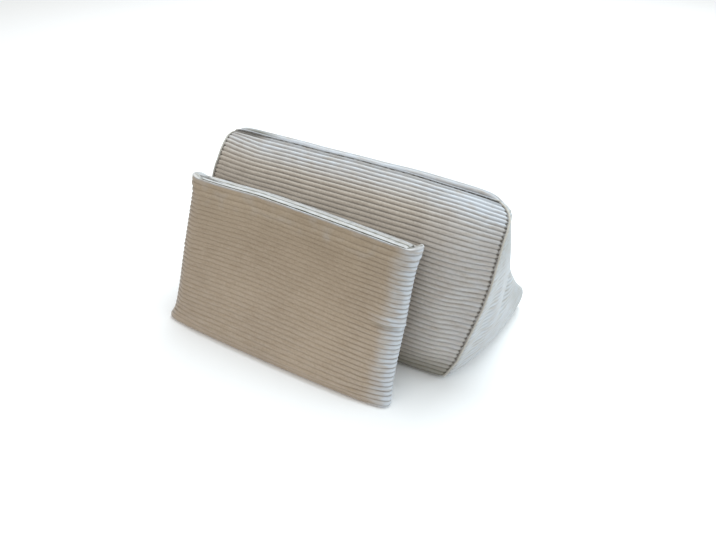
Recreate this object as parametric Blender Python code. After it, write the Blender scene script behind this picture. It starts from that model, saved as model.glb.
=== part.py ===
"""Wedge back cushion in wide ribbed cord, with the slim pad that leans on its front.

Metres, +Z up, +X to the right, front at -Y. The origin is under the middle of the whole set, on the floor.
Every surface is a grid of rows and columns. The cord ribs run along the rows, raised in the grid points.
"""
import math

import bmesh
import bpy
from mathutils import Vector

OBJECT_NAME = "wedge_back_cushion"
DEPTH_SHIFT = -0.0875

# Wedge: one filled solid. Sections are (depth, height) in the middle, from the floor seam to the top seam.
WEDGE_RIBS = 43
FACE_SECTION = (
    (0.010, 0.002), (-0.005, 0.007), (-0.001, 0.038), (0.007, 0.074), (0.017, 0.110), (0.027, 0.145),
    (0.036, 0.180), (0.047, 0.215), (0.059, 0.251), (0.080, 0.283), (0.111, 0.306), (0.147, 0.319),
)
BACK_SECTION = (
    (0.286, 0.003), (0.299, 0.014), (0.296, 0.042), (0.270, 0.094), (0.238, 0.172), (0.216, 0.232),
    (0.196, 0.284), (0.183, 0.303), (0.169, 0.314), (0.156, 0.319), (0.147, 0.319),
)
# Half widths of the ribbed face, right and left, by share of the way from floor seam (0) to top seam (1).
FACE_RIGHT = (
    (0.00, 0.254), (0.03, 0.262), (0.06, 0.269), (0.15, 0.285), (0.25, 0.294), (0.35, 0.302),
    (0.45, 0.310), (0.55, 0.315), (0.70, 0.317), (0.85, 0.316), (0.91, 0.313), (0.95, 0.306),
    (0.98, 0.296), (1.00, 0.282),
)
FACE_LEFT = (
    (0.00, 0.254), (0.06, 0.266), (0.15, 0.280), (0.25, 0.289), (0.35, 0.295), (0.45, 0.297),
    (0.55, 0.296), (0.70, 0.292), (0.80, 0.289), (0.90, 0.292), (0.97, 0.294), (1.00, 0.290),
)
FACE_EDGE_FALL = 0.015
FACE_EDGE_POWER = 5.0
FACE_EDGE_SPREAD = 0.5
# Fuller stretch of the face just inside its right seam: height, place and width across.
FACE_SWELL = 0.005
FACE_SWELL_PLACE = 0.75
FACE_SWELL_WIDTH = 0.16
TOP_SEAM_FALL_RIGHT = 0.012
TOP_SEAM_FALL_LEFT = 0.003
TOP_SEAM_POWER = 4
# Where the back panel meets the right side panel, from the floor to the top corner.
BACK_EDGE = (
    (0.306, 0.284, 0.003), (0.319, 0.290, 0.019), (0.321, 0.284, 0.046), (0.316, 0.254, 0.078),
    (0.310, 0.222, 0.116), (0.308, 0.203, 0.152), (0.308, 0.188, 0.194), (0.307, 0.176, 0.236),
    (0.303, 0.169, 0.274), (0.293, 0.162, 0.295), (0.282, 0.147, 0.308),
)
BACK_EDGE_POWER = 3.0
# The back panel rolls over just behind the top seam, most of all near its two ends.
CREST_RISE = 0.0035
CREST_RISE_RIGHT = 0.008
CREST_RISE_LEFT = 0.012
CREST_PLACE = 0.035
CREST_END_POWER = 20
SIDE_BULGE = 0.013
SIDE_FOOT_BULGE = 0.012
SIDE_FOOT_ROWS = 0.16
SIDE_FULL_DEPTH = 0.240
SIDE_BULGE_POWER = 0.5
SIDE_BULGE_LEAN = 0.8
COLUMNS = (-1.0, -0.97, -0.90, -0.76, -0.54, -0.28, 0.0, 0.28, 0.54, 0.76, 0.90, 0.97, 1.0)
SIDE_STEPS = (0.0, 0.06, 0.26, 0.50, 0.74, 0.94, 1.0)

# Ribs: height of the crest over the middle of the cloth, on each kind of panel.
RIB_FACE = 0.0011
RIB_SIDE = 0.0006
RIB_PAD = 0.0009
PLAIN_ROWS_AT_TOP = 2

# Seam edge up the sides and along the top of the ribbed face; its ends stop just over the floor.
EDGE_RADIUS = 0.0014
EDGE_SIDES = 6
EDGE_ROW_STEP = 2
EDGE_FIRST_ROW = 4
EDGE_GAP = 0.0006
EDGE_SIDE_LEAN = Vector((0.0, -0.4, 0.0))
EDGE_TOP_LEAN = Vector((0.0, -0.9, 1.0))

# Pad: one filled solid, sections as (depth, height) from the floor to the top.
PAD_RIBS = 34
PAD_MIDDLE = -0.0425
PAD_TOP_SHIFT = -0.012
PAD_HALF_WIDTH = (
    (0.00, 0.2530), (0.04, 0.2565), (0.12, 0.2550), (0.30, 0.2530), (0.50, 0.2525), (0.70, 0.2525),
    (0.88, 0.2525), (0.95, 0.2530), (1.00, 0.2540),
)
PAD_FRONT = (
    (-0.1130, 0.0000), (-0.1170, 0.0040), (-0.1140, 0.0150), (-0.1010, 0.0360), (-0.0800, 0.0800),
    (-0.0510, 0.1380), (-0.0230, 0.1960), (-0.0020, 0.2380), (0.0065, 0.2545), (0.0122, 0.2652),
)
PAD_BACK = (
    (-0.0960, 0.0000), (-0.0840, 0.0040), (-0.0700, 0.0150), (-0.0560, 0.0380), (-0.0340, 0.0800),
    (-0.0070, 0.1340), (0.0210, 0.1900), (0.0430, 0.2300), (0.0530, 0.2440), (0.0565, 0.2505),
)
# The floor edge of the pad bows forward in the middle and stands further forward at its right end.
PAD_FOOT_BOW = 0.006
PAD_FOOT_TURN = 0.005
PAD_FOOT_SHARE = 0.5
PAD_QUARTER = (
    (1.0, 0.0), (0.988, 0.42), (0.960, 0.68), (0.910, 0.85), (0.82, 0.955), (0.60, 1.0), (0.24, 1.0),
)
PAD_LIP = 0.0030
PAD_LIP_DEPTH = 0.0034
PAD_LIP_SHARE = 0.14
PAD_EAR_RIGHT = 0.008
PAD_EAR_LEFT = 0.009
PAD_EAR_SHARE = 0.09
# The top of the pad falls to the right from a place left of its middle, and bows up a little between.
PAD_TOP_FALL = 0.0119
PAD_FALL_FROM = -0.34
PAD_TOP_BOW = 0.0022
PAD_BOW_MIDDLE = 0.2
PAD_BOW_REACH = 0.8
PAD_LEAN = Vector((0.0, 0.42, 0.91))

# Ribbed strip that closes the top of the pad.
STRIP_RIBS = 4
STRIP_GAP = 0.0005
STRIP_THICK = 0.0034
STRIP_RIB = 0.0007
STRIP_MARGIN = 0.0056
STRIP_ENDS = (-0.89, -0.82, -0.60, -0.24, 0.24, 0.60, 0.82, 0.89)
STRIP_END_MARGIN = 0.0030

CORD_COLOUR = (0.49, 0.46, 0.42, 1.0)
EDGE_COLOUR = (0.46, 0.41, 0.34, 1.0)
CORD_ROUGHNESS = 0.95


def clear_scene():
    """Remove every object of the starting scene."""
    for item in list(bpy.data.objects):
        bpy.data.objects.remove(item, do_unlink=True)


def cloth(name, colour):
    """Make one cloth material."""
    material = bpy.data.materials.new(name)
    material.use_nodes = True
    shader = material.node_tree.nodes["Principled BSDF"]
    shader.inputs["Base Color"].default_value = colour
    shader.inputs["Roughness"].default_value = CORD_ROUGHNESS
    return material


def spline_point(points, position):
    """Point on a smooth curve through the given points; position counts the points."""
    last = len(points) - 1
    index = min(int(position), last - 1)
    part = position - index
    before = points[max(index - 1, 0)]
    start = points[index]
    end = points[index + 1]
    after = points[min(index + 2, last)]
    square = part * part
    cube = square * part
    result = start * (1.5 * cube - 2.5 * square + 1.0)
    result += before * (-0.5 * cube + square - 0.5 * part)
    result += end * (-1.5 * cube + 2.0 * square + 0.5 * part)
    result += after * (0.5 * cube - 0.5 * square)
    return result


def even_curve(points, count, fine=16):
    """Points at even distances along the smooth curve through the given points."""
    points = [Vector(point) for point in points]
    total = (len(points) - 1) * fine
    dense = [spline_point(points, step / fine) for step in range(total + 1)]
    lengths = [0.0]
    for first, second in zip(dense, dense[1:]):
        lengths.append(lengths[-1] + (second - first).length)
    result = []
    place = 0
    for step in range(count + 1):
        wanted = lengths[-1] * step / count
        while place < total - 1 and lengths[place + 1] < wanted:
            place += 1
        span = lengths[place + 1] - lengths[place]
        result.append(dense[place].lerp(dense[place + 1], (wanted - lengths[place]) / span))
    return result


def table_value(table, position):
    """Value at a position between the rows of a short two-column table."""
    for (low, first), (high, second) in zip(table, table[1:]):
        if position <= high:
            part = (position - low) / (high - low)
            return first + (second - first) * part
    return table[-1][1]


def face_grid(rows):
    """Front of the wedge: crowned, falling back to the seam at each side."""
    middle = even_curve([(0.0, y, z) for y, z in FACE_SECTION], rows)
    grid = []
    for index, point in enumerate(middle):
        ahead = middle[min(index + 1, rows)] - middle[max(index - 1, 0)]
        inward = Vector((0.0, ahead.z, -ahead.y)).normalized()
        line = []
        for across in COLUMNS:
            half = table_value(FACE_RIGHT if across > 0.0 else FACE_LEFT, index / rows)
            fall = FACE_EDGE_FALL * abs(across) ** FACE_EDGE_POWER
            fall *= math.sin(math.pi * index / rows) ** FACE_EDGE_SPREAD
            drop = TOP_SEAM_FALL_RIGHT if across > 0.0 else TOP_SEAM_FALL_LEFT
            drop *= across * across * (index / rows) ** TOP_SEAM_POWER
            near = (across - FACE_SWELL_PLACE) / FACE_SWELL_WIDTH
            fall -= FACE_SWELL * math.exp(-near * near) * math.sin(math.pi * index / rows)
            line.append(Vector((across * half, point.y, point.z - drop)) + inward * fall)
        grid.append(line)
    return grid


def crest_rise(across, down):
    """How far the back panel rises over the plain curve, by share of its length down from the top."""
    end = CREST_RISE_RIGHT if across > 0.0 else CREST_RISE_LEFT
    rise = (CREST_RISE + end * across * across) * (1.0 - abs(across) ** CREST_END_POWER)
    place = down / CREST_PLACE
    return rise * place * math.exp(1.0 - place)


def back_grid(rows, top_line):
    """Back of the wedge: fuller in the middle than along its side seams."""
    middle = even_curve([(0.0, y, z) for y, z in BACK_SECTION], rows)
    edge = even_curve(BACK_EDGE, rows)
    grid = []
    for index, (point, corner) in enumerate(zip(middle, edge)):
        line = []
        for across in COLUMNS:
            share = abs(across) ** BACK_EDGE_POWER
            height = point.z + (corner.z - point.z) * share + crest_rise(across, 1.0 - index / rows)
            line.append(Vector((across * corner.x, point.y + (corner.y - point.y) * share, height)))
        grid.append(line)
    grid[-1] = [point.copy() for point in top_line]
    return grid


def side_grid(face_edge, back_edge, way):
    """Side panel from the face seam to the back seam, filled out in its middle."""
    grid = []
    rows = len(face_edge) - 1
    for row, (front, rear) in enumerate(zip(face_edge, back_edge)):
        foot = max(1.0 - row / (rows * SIDE_FOOT_ROWS), 0.0)
        fill = SIDE_BULGE * min((rear - front).length / SIDE_FULL_DEPTH, 1.0) + SIDE_FOOT_BULGE * foot
        line = []
        for step in SIDE_STEPS:
            out = fill * math.sin(math.pi * step ** SIDE_BULGE_LEAN) ** SIDE_BULGE_POWER * way
            line.append(front.lerp(rear, step) + Vector((out, 0.0, 0.0)))
        grid.append(line)
    return grid


def raise_ribs(grid, height, way, plain_top=0):
    """Lift every second row and lower the ones between, nothing along the border."""
    rows = len(grid) - 1
    columns = len(grid[0]) - 1
    result = [[point.copy() for point in line] for line in grid]
    for row in range(1, rows - plain_top):
        lift = height if row % 2 else -height
        for column in range(1, columns):
            along = grid[row][column + 1] - grid[row][column - 1]
            up = grid[row + 1][column] - grid[row - 1][column]
            normal = along.cross(up).normalized() * way
            result[row][column] += normal * lift
    return result


def make_object(name, mesh_data, material, collection):
    """Turn a bmesh into a closed, named object."""
    bmesh.ops.recalc_face_normals(mesh_data, faces=mesh_data.faces)
    mesh = bpy.data.meshes.new(name)
    mesh_data.to_mesh(mesh)
    mesh_data.free()
    mesh.materials.append(material)
    item = bpy.data.objects.new(name, mesh)
    collection.objects.link(item)
    return item


def placed(point):
    """Move a point of the drawing into the frame of the whole set."""
    return Vector((point.x, point.y + DEPTH_SHIFT, point.z))


def fill_between(mesh_data, lower, upper):
    """Join two rows of corners with faces, and close to a point where corners are shared."""
    for index in range(len(lower) - 1):
        corners = []
        for corner in (lower[index], lower[index + 1], upper[index + 1], upper[index]):
            if corner not in corners:
                corners.append(corner)
        if len(corners) > 2:
            mesh_data.faces.new(corners)


def wedge_grids():
    """The four upright panels of the wedge before ribs."""
    rows = WEDGE_RIBS * 2
    face = face_grid(rows)
    back = back_grid(rows, face[-1])
    right = side_grid([line[-1] for line in face], [line[-1] for line in back], 1.0)
    left = side_grid([line[0] for line in face], [line[0] for line in back], -1.0)
    return face, back, right, left


def build_wedge(material, collection):
    """The wedge as one filled solid with a flat base."""
    face, back, right, left = wedge_grids()
    face = raise_ribs(face, RIB_FACE, 1.0)
    back = raise_ribs(back, RIB_FACE, -1.0, PLAIN_ROWS_AT_TOP)
    right = raise_ribs(right, RIB_SIDE, 1.0, PLAIN_ROWS_AT_TOP)
    left = raise_ribs(left, RIB_SIDE, -1.0, PLAIN_ROWS_AT_TOP)
    solid = bmesh.new()
    face_corners = [[solid.verts.new(placed(point)) for point in line] for line in face]
    back_corners = [[solid.verts.new(placed(point)) for point in line] for line in back[:-1]]
    back_corners.append(face_corners[-1])
    sides = []
    for grid, column in ((right, -1), (left, 0)):
        corners = []
        for row, line in enumerate(grid[:-1]):
            inner = [solid.verts.new(placed(point)) for point in line[1:-1]]
            corners.append([face_corners[row][column]] + inner + [back_corners[row][column]])
        corners.append([face_corners[-1][column]] * len(SIDE_STEPS))
        sides.append(corners)
    for grid in (face_corners, back_corners, sides[0], sides[1]):
        for lower, upper in zip(grid, grid[1:]):
            fill_between(solid, lower, upper)
    base = [face_corners[0]]
    for step in range(1, len(SIDE_STEPS) - 1):
        right_end = sides[0][0][step]
        left_end = sides[1][0][step]
        line = [left_end]
        for index in range(1, len(COLUMNS) - 1):
            share = (COLUMNS[index] + 1.0) / 2.0
            point = left_end.co.lerp(right_end.co, share)
            point.y = face_corners[0][index].co.lerp(back_corners[0][index].co, SIDE_STEPS[step]).y
            point.z = 0.0
            line.append(solid.verts.new(point))
        line.append(right_end)
        base.append(line)
    base.append(back_corners[0])
    for lower, upper in zip(base, base[1:]):
        fill_between(solid, lower, upper)
    return make_object("wedge_body", solid, material, collection)


def build_face_edge(material, collection):
    """Thin seam edge that follows the border of the ribbed face."""
    face, back, right, left = wedge_grids()
    rows = len(face) - 1
    path = []
    for row in range(EDGE_FIRST_ROW, rows, EDGE_ROW_STEP):
        out = (right[row][1] - right[row][0]).cross(right[row + 1][0] - right[row][0]).normalized()
        path.append((right[row][0], out + EDGE_SIDE_LEAN))
    for column in range(len(COLUMNS) - 1, -1, -1):
        path.append((face[rows][column], EDGE_TOP_LEAN))
    for row in range(rows - EDGE_ROW_STEP, EDGE_FIRST_ROW - 1, -EDGE_ROW_STEP):
        out = (left[row + 1][0] - left[row][0]).cross(left[row][1] - left[row][0]).normalized()
        path.append((left[row][0], out + EDGE_SIDE_LEAN))
    line = [point + out.normalized() * (EDGE_RADIUS + EDGE_GAP) for point, out in path]
    solid = bmesh.new()
    rings = []
    for index, point in enumerate(line):
        along = (line[min(index + 1, len(line) - 1)] - line[max(index - 1, 0)]).normalized()
        across = along.cross(path[index][1]).normalized()
        out = across.cross(along)
        ring = []
        for side in range(EDGE_SIDES):
            angle = 2.0 * math.pi * side / EDGE_SIDES
            turned = out * math.cos(angle) + across * math.sin(angle)
            ring.append(solid.verts.new(placed(point + turned * EDGE_RADIUS)))
        rings.append(ring)
    for lower, upper in zip(rings, rings[1:]):
        fill_between(solid, lower + lower[:1], upper + upper[:1])
    solid.faces.new(rings[0])
    solid.faces.new(rings[-1])
    return make_object("wedge_face_edge", solid, material, collection)


def pad_stations():
    """Round-the-pad stations as (share of half width, share of half thickness), front first."""
    quarter = list(PAD_QUARTER)
    front = quarter + [(-x, s) for x, s in reversed(quarter)]
    back = [(-x, -s) for x, s in quarter[1:]] + [(x, -s) for x, s in reversed(quarter[1:])]
    return front + back


def pad_top_shift(x, share):
    """How a place on the pad moves because its top is uneven and its corners stand up."""
    fall = PAD_TOP_FALL * max(x - PAD_FALL_FROM, 0.0)
    bow = PAD_TOP_BOW * max(1.0 - ((x - PAD_BOW_MIDDLE) / PAD_BOW_REACH) ** 2, 0.0)
    corner = max((abs(x) - 1.0 + PAD_EAR_SHARE) / PAD_EAR_SHARE, 0.0)
    high = max((share - 1.0 + PAD_EAR_SHARE) / PAD_EAR_SHARE, 0.0)
    ear = (PAD_EAR_RIGHT if x > 0.0 else PAD_EAR_LEFT) * corner * high
    return PAD_LEAN * (bow - fall) * share + Vector((0.0, 0.0, ear))


def pad_levels(rows):
    """Rings of the pad from the floor to the top, before ribs."""
    front = even_curve([(0.0, y, z) for y, z in PAD_FRONT], rows)
    rear = even_curve([(0.0, y, z) for y, z in PAD_BACK], rows)
    levels = []
    for row in range(rows + 1):
        half = table_value(PAD_HALF_WIDTH, row / rows)
        middle = (front[row] + rear[row]) / 2.0
        reach = (front[row] - rear[row]) / 2.0
        ring = []
        for x, s in pad_stations():
            shift = PAD_MIDDLE + PAD_TOP_SHIFT * row / rows
            point = Vector((shift + half * x, 0.0, 0.0)) + middle + reach * s
            foot = max(1.0 - row / (rows * PAD_FOOT_SHARE), 0.0)
            point.y -= foot * (PAD_FOOT_BOW * (1.0 - x * x) + PAD_FOOT_TURN * (1.0 + x) / 2.0)
            ring.append(point + pad_top_shift(x, row / rows))
        levels.append(ring)
    return levels


def close_ring(solid, ring):
    """Fill a ring straight across, from its front half to its back half."""
    half = len(ring) // 2
    for index in range(half):
        corners = []
        for corner in (ring[index], ring[index + 1], ring[-index - 1], ring[-index % len(ring)]):
            if corner not in corners:
                corners.append(corner)
        solid.faces.new(corners)


def build_pad(material, collection):
    """The pad as one filled solid with a lip round its top."""
    rows = PAD_RIBS * 2
    levels = pad_levels(rows)
    count = len(levels[0])
    ribbed = [[point.copy() for point in ring] for ring in levels]
    for row in range(1, rows):
        lift = RIB_PAD if row % 2 else -RIB_PAD
        for index in range(count):
            along = levels[row][(index + 1) % count] - levels[row][index - 1]
            up = levels[row + 1][index] - levels[row - 1][index]
            ribbed[row][index] += up.cross(along).normalized() * lift
            ribbed[row][index].z = max(ribbed[row][index].z, 0.0)
    top = levels[-1]
    inner = []
    for index, point in enumerate(top):
        inward = (top[-index % count] - point) / 2.0 * PAD_LIP_SHARE
        inward.x = math.copysign(PAD_LIP, PAD_MIDDLE + PAD_TOP_SHIFT - point.x)
        inner.append(point + inward)
    ribbed.append(inner)
    ribbed.append([point - Vector((0.0, 0.0, PAD_LIP_DEPTH)) for point in inner])
    solid = bmesh.new()
    corners = [[solid.verts.new(placed(point)) for point in ring] for ring in ribbed]
    for lower, upper in zip(corners, corners[1:]):
        fill_between(solid, lower + lower[:1], upper + upper[:1])
    close_ring(solid, corners[0])
    close_ring(solid, corners[-1])
    return make_object("pad_body", solid, material, collection)


def build_strip(material, collection):
    """Ribbed strip of cloth that lies in the top of the pad and closes it."""
    front = Vector((PAD_MIDDLE + PAD_TOP_SHIFT,) + PAD_FRONT[-1])
    rear = Vector((PAD_MIDDLE + PAD_TOP_SHIFT,) + PAD_BACK[-1])
    back_way = (rear - front).normalized()
    up = Vector((0.0, -back_way.z, back_way.y))
    half = PAD_HALF_WIDTH[-1][1]
    rows = STRIP_RIBS * 2
    solid = bmesh.new()
    top = []
    under = []
    for row in range(rows + 1):
        lift = 0.0
        if 0 < row < rows:
            lift = STRIP_RIB if row % 2 else -STRIP_RIB
        top_line = []
        under_line = []
        for share in STRIP_ENDS:
            margin = STRIP_MARGIN
            if share in (STRIP_ENDS[0], STRIP_ENDS[-1]):
                margin += STRIP_END_MARGIN
            line = (front + back_way * margin).lerp(rear - back_way * margin, row / rows)
            base = line + Vector((half * share, 0.0, STRIP_GAP - PAD_LIP_DEPTH))
            base += pad_top_shift(share, 1.0)
            under_line.append(solid.verts.new(placed(base)))
            top_line.append(solid.verts.new(placed(base + up * (STRIP_THICK + lift))))
        top.append(top_line)
        under.append(under_line)
    for grid in (top, under):
        for lower, upper in zip(grid, grid[1:]):
            fill_between(solid, lower, upper)
    fill_between(solid, under[0], top[0])
    fill_between(solid, under[-1], top[-1])
    for column in (0, -1):
        fill_between(solid, [line[column] for line in under], [line[column] for line in top])
    return make_object("pad_top_strip", solid, material, collection)


def main():
    """Build every piece into the collection named for the object."""
    clear_scene()
    collection = bpy.data.collections.new(OBJECT_NAME)
    bpy.context.scene.collection.children.link(collection)
    wedge_cord = cloth("wedge_cord", CORD_COLOUR)
    pad_cord = cloth("pad_cord", CORD_COLOUR)
    strip_cord = cloth("strip_cord", CORD_COLOUR)
    edge_cloth = cloth("edge_cloth", EDGE_COLOUR)
    build_wedge(wedge_cord, collection)
    build_face_edge(edge_cloth, collection)
    build_pad(pad_cord, collection)
    build_strip(strip_cord, collection)


main()
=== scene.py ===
"""Wedge back cushion in wide ribbed cord with a slim pad on its front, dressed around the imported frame.

Metres, +Z up, +X to the right, front at -Y, as in the frame. Every panel is a flat grid that is bent into
its place, blown up like a filled cover, and then ribbed.
"""

import math

import bmesh
import bpy
from bpy.props import FloatProperty, FloatVectorProperty, IntProperty, PointerProperty
from mathutils import Matrix, Vector, kdtree, noise
from mathutils.bvhtree import BVHTree


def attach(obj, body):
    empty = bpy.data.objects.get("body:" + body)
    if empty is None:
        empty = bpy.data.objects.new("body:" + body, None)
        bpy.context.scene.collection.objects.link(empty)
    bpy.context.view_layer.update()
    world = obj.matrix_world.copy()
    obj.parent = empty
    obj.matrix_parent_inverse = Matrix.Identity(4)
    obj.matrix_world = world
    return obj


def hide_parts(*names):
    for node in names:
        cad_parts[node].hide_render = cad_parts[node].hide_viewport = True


bl_info = {
    "name": "Ribbed wedge back cushion",
    "version": (1, 0, 0),
    "blender": (4, 5, 0),
    "location": "3D View > Sidebar > Cushion",
    "description": "Builds a ribbed wedge cushion, its front pad and a small studio",
    "category": "Add Mesh",
}

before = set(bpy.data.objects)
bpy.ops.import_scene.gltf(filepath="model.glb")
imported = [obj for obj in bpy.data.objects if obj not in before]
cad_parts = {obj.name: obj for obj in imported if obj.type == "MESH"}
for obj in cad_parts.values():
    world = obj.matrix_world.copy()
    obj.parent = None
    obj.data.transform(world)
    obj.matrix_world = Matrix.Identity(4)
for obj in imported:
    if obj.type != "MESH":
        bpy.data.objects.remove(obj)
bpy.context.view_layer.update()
DEPTH_SHIFT = -0.0875

# Middle sections of the wedge as (depth, height), from the floor seam to the top seam.
FACE_SECTION = (
    (0.010, 0.002), (-0.005, 0.007), (-0.001, 0.038), (0.007, 0.074), (0.017, 0.110), (0.027, 0.145),
    (0.036, 0.180), (0.047, 0.215), (0.059, 0.251), (0.080, 0.283), (0.111, 0.306), (0.147, 0.319),
)
BACK_SECTION = (
    (0.286, 0.003), (0.299, 0.014), (0.296, 0.042), (0.270, 0.094), (0.238, 0.172), (0.216, 0.232),
    (0.196, 0.284), (0.183, 0.303), (0.169, 0.314), (0.156, 0.319), (0.147, 0.319),
)
# Half widths of the front by share of the way up.
FACE_RIGHT = (
    (0.00, 0.254), (0.03, 0.262), (0.06, 0.269), (0.15, 0.285), (0.25, 0.294), (0.35, 0.302),
    (0.45, 0.310), (0.55, 0.315), (0.70, 0.317), (0.85, 0.316), (0.91, 0.313), (0.95, 0.306),
    (0.98, 0.296), (1.00, 0.282),
)
FACE_LEFT = (
    (0.00, 0.254), (0.06, 0.266), (0.15, 0.280), (0.25, 0.289), (0.35, 0.295), (0.45, 0.297),
    (0.55, 0.296), (0.70, 0.292), (0.80, 0.289), (0.90, 0.292), (0.95, 0.294), (0.98, 0.291),
    (1.00, 0.283),
)
# Seam of the back panel with a side panel, as (half width, depth, height).
BACK_EDGE = (
    (0.306, 0.284, 0.003), (0.319, 0.290, 0.019), (0.321, 0.284, 0.046), (0.316, 0.254, 0.078),
    (0.310, 0.222, 0.116), (0.308, 0.203, 0.152), (0.308, 0.188, 0.194), (0.307, 0.176, 0.236),
    (0.303, 0.169, 0.274), (0.293, 0.162, 0.295), (0.282, 0.147, 0.308),
)
BACK_EDGE_POWER = 3.0

# How the front falls back to its side seams, and the soft swelling near its right seam.
FACE_EDGE_FALL = 0.015
FACE_EDGE_POWER = 5.0
FACE_EDGE_SPREAD = 0.5
FACE_SWELL = 0.005
FACE_SWELL_PLACE = 0.75
FACE_SWELL_WIDTH = 0.16

# How the top seam falls to its ends, and how its left corner is rounded.
TOP_SEAM_FALL_RIGHT = 0.012
TOP_SEAM_FALL_LEFT = -0.002
TOP_SEAM_POWER = 4
TOP_CORNER_FALL = 0.005
TOP_CORNER_POWER = 28
TOP_CORNER_LIFT = 0.011
TOP_CORNER_LIFT_FROM = 0.80
TOP_CORNER_LIFT_LOSS = 0.3

# Crest of the back panel behind the top seam.
CREST_RISE = 0.0035
CREST_RISE_ENDS = 0.008
CREST_PLACE = 0.035
CREST_END_POWER = 24

# Fullness of the side panels, and the crease across them; places are (middle, reach) shares up or across.
SIDE_BULGE = 0.013
SIDE_BULGE_POWER = 0.5
SIDE_BULGE_LEAN = 0.8
SIDE_FULL_DEPTH = 0.240
SIDE_FOOT_BULGE = 0.012
SIDE_FOOT_SHARE = 0.16
SIDE_TOP_BULGE = 0.006
SIDE_TOP_PLACE = (0.955, 0.09)
SIDE_CREASE = 0.005
SIDE_CREASE_PLACE = (0.36, 0.17)
SIDE_CREASE_MIDDLE = -0.0607
SIDE_CREASE_SLANT = 2.1
SIDE_CREASE_WIDTH = 0.10
SIDE_REAR_BULGE = 0.003
SIDE_REAR_PLACE = (0.30, 0.22)
SIDE_REAR_OFFSET = 0.20
SIDE_REAR_WIDTH = 0.24

# How much of the filling's swelling shows, and how the seam holds it back.
SEAM_HOLD = 0.1
SEAM_REACH = 0.04
SWELL_OUT = 0.55
SWELL_ALONG = 0.25
PAD_SWELL = 0.7

# Middle sections of the pad as (depth, height) from the floor to the top, and half widths by share up.
PAD_MIDDLE = -0.0425
PAD_TOP_SHIFT = -0.012
PAD_HALF_WIDTH = (
    (0.00, 0.2530), (0.04, 0.2565), (0.12, 0.2550), (0.30, 0.2530), (0.50, 0.2525), (0.70, 0.2525),
    (0.88, 0.2525), (0.95, 0.2530), (1.00, 0.2540),
)
PAD_FRONT = (
    (-0.1130, 0.0000), (-0.1170, 0.0040), (-0.1140, 0.0150), (-0.1010, 0.0360), (-0.0800, 0.0800),
    (-0.0510, 0.1380), (-0.0230, 0.1960), (-0.0020, 0.2380), (0.0065, 0.2545), (0.0122, 0.2652),
)
PAD_BACK = (
    (-0.0960, 0.0000), (-0.0840, 0.0040), (-0.0700, 0.0150), (-0.0560, 0.0380), (-0.0340, 0.0800),
    (-0.0070, 0.1340), (0.0210, 0.1900), (0.0430, 0.2300), (0.0530, 0.2440), (0.0565, 0.2505),
)
# Quarter of the pad's outline seen from above, as shares of half its width and half its thickness.
PAD_QUARTER = (
    (1.0, 0.0), (0.988, 0.42), (0.960, 0.68), (0.910, 0.85), (0.82, 0.955), (0.72, 0.990), (0.60, 1.0),
    (0.44, 1.0), (0.28, 1.0), (0.10, 1.0),
)
STATION_STEPS = 6
PAD_FOOT_BOW = 0.006
PAD_FOOT_TURN = 0.005
PAD_FOOT_SHARE = 0.5

# Uneven top of the pad: its slope, its bow and the ears at its corners, which stand highest at the back.
PAD_TOP_FALL = 0.0119
PAD_FALL_FROM = -0.34
PAD_TOP_BOW = 0.0022
PAD_BOW_MIDDLE = 0.2
PAD_BOW_REACH = 0.8
PAD_LEAN = Vector((0.0, 0.42, 0.91))
PAD_EAR_RIGHT = 0.013
PAD_EAR_LEFT = 0.009
PAD_EAR_SHARE = 0.09
PAD_EAR_MIDDLE = 0.62
PAD_EAR_BACK = 0.38

# Lip round the pad's top, drawn together at its corners; its profile is (share inwards, height over the rim).
PAD_LIP = 0.0030
PAD_LIP_SHARE = 0.14
PAD_LIP_CLOSED = 0.97
PAD_LIP_DEPTH = 0.0034
LIP_PROFILE = (
    (0.12, 0.0004), (0.35, 0.0008), (0.65, 0.0008), (0.90, 0.0003), (1.0, -0.0010), (1.0, -0.0034),
)
PAD_PINCH = (0.90, 0.96)
PAD_PINCH_RISE = 0.8
PAD_KNOT = 0.0040
PAD_KNOT_PLACE = (0.93, 0.97)

# Strip in the top of the pad.
STRIP_GAP = 0.0005
STRIP_THICK = 0.0034
STRIP_CLOTH = 0.0018
STRIP_MARGIN = 0.0044
STRIP_SLOT = 0.0068
STRIP_END = 0.895
STRIP_END_MARGIN = 0.0022
STRIP_END_FROM = (0.80, 0.94)
STRIP_ROUND = 0.02

# How far the ribs bend away from straight rows, and where.
CORNER_PULL = 0.012
CORNER_PULL_FROM = 0.66
CORNER_PULL_POWER = 1.6
CORNER_PULL_PLACE = (0.93, 0.20)
SEAM_PULL = 0.001
SEAM_PULL_FROM = 0.80
PAD_ARCH = 0.0020
PAD_ARCH_MIDDLE = -0.28
PAD_ARCH_TURNS = 3.7

# Ribs: roundness, start at a seam, plain stretches as counts of ribs, and higher ribs at the pad's ends.
RIB_ROUND = 0.54
RIB_END = 0.0032
WEDGE_PLAIN = (0.7, 1.3)
PAD_PLAIN = (0.5, 1.1)
PAD_FOOT_PLAIN = 0.8
PAD_STEADY = (0.4, 3.0)
PAD_END_RIBS = 0.9
PAD_END_PLACE = (0.90, 0.97)

# Creases of the pad's front: a deep one at the right with a fold over it, a faint slanting one at the left.
CREASE_HEIGHT = 0.0036
CREASE_SHARE = 0.517
CREASE_PLACE = (0.72, 0.86)
CREASE_WIDTH = 0.012
FOLD_OFFSET = 0.035
FOLD_WIDTH = 0.026
FAINT_HEIGHT = 0.0010
FAINT_SHARE = 0.71835
FAINT_SLANT = 0.17
FAINT_PLACE = (-0.58, -0.70)

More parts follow.
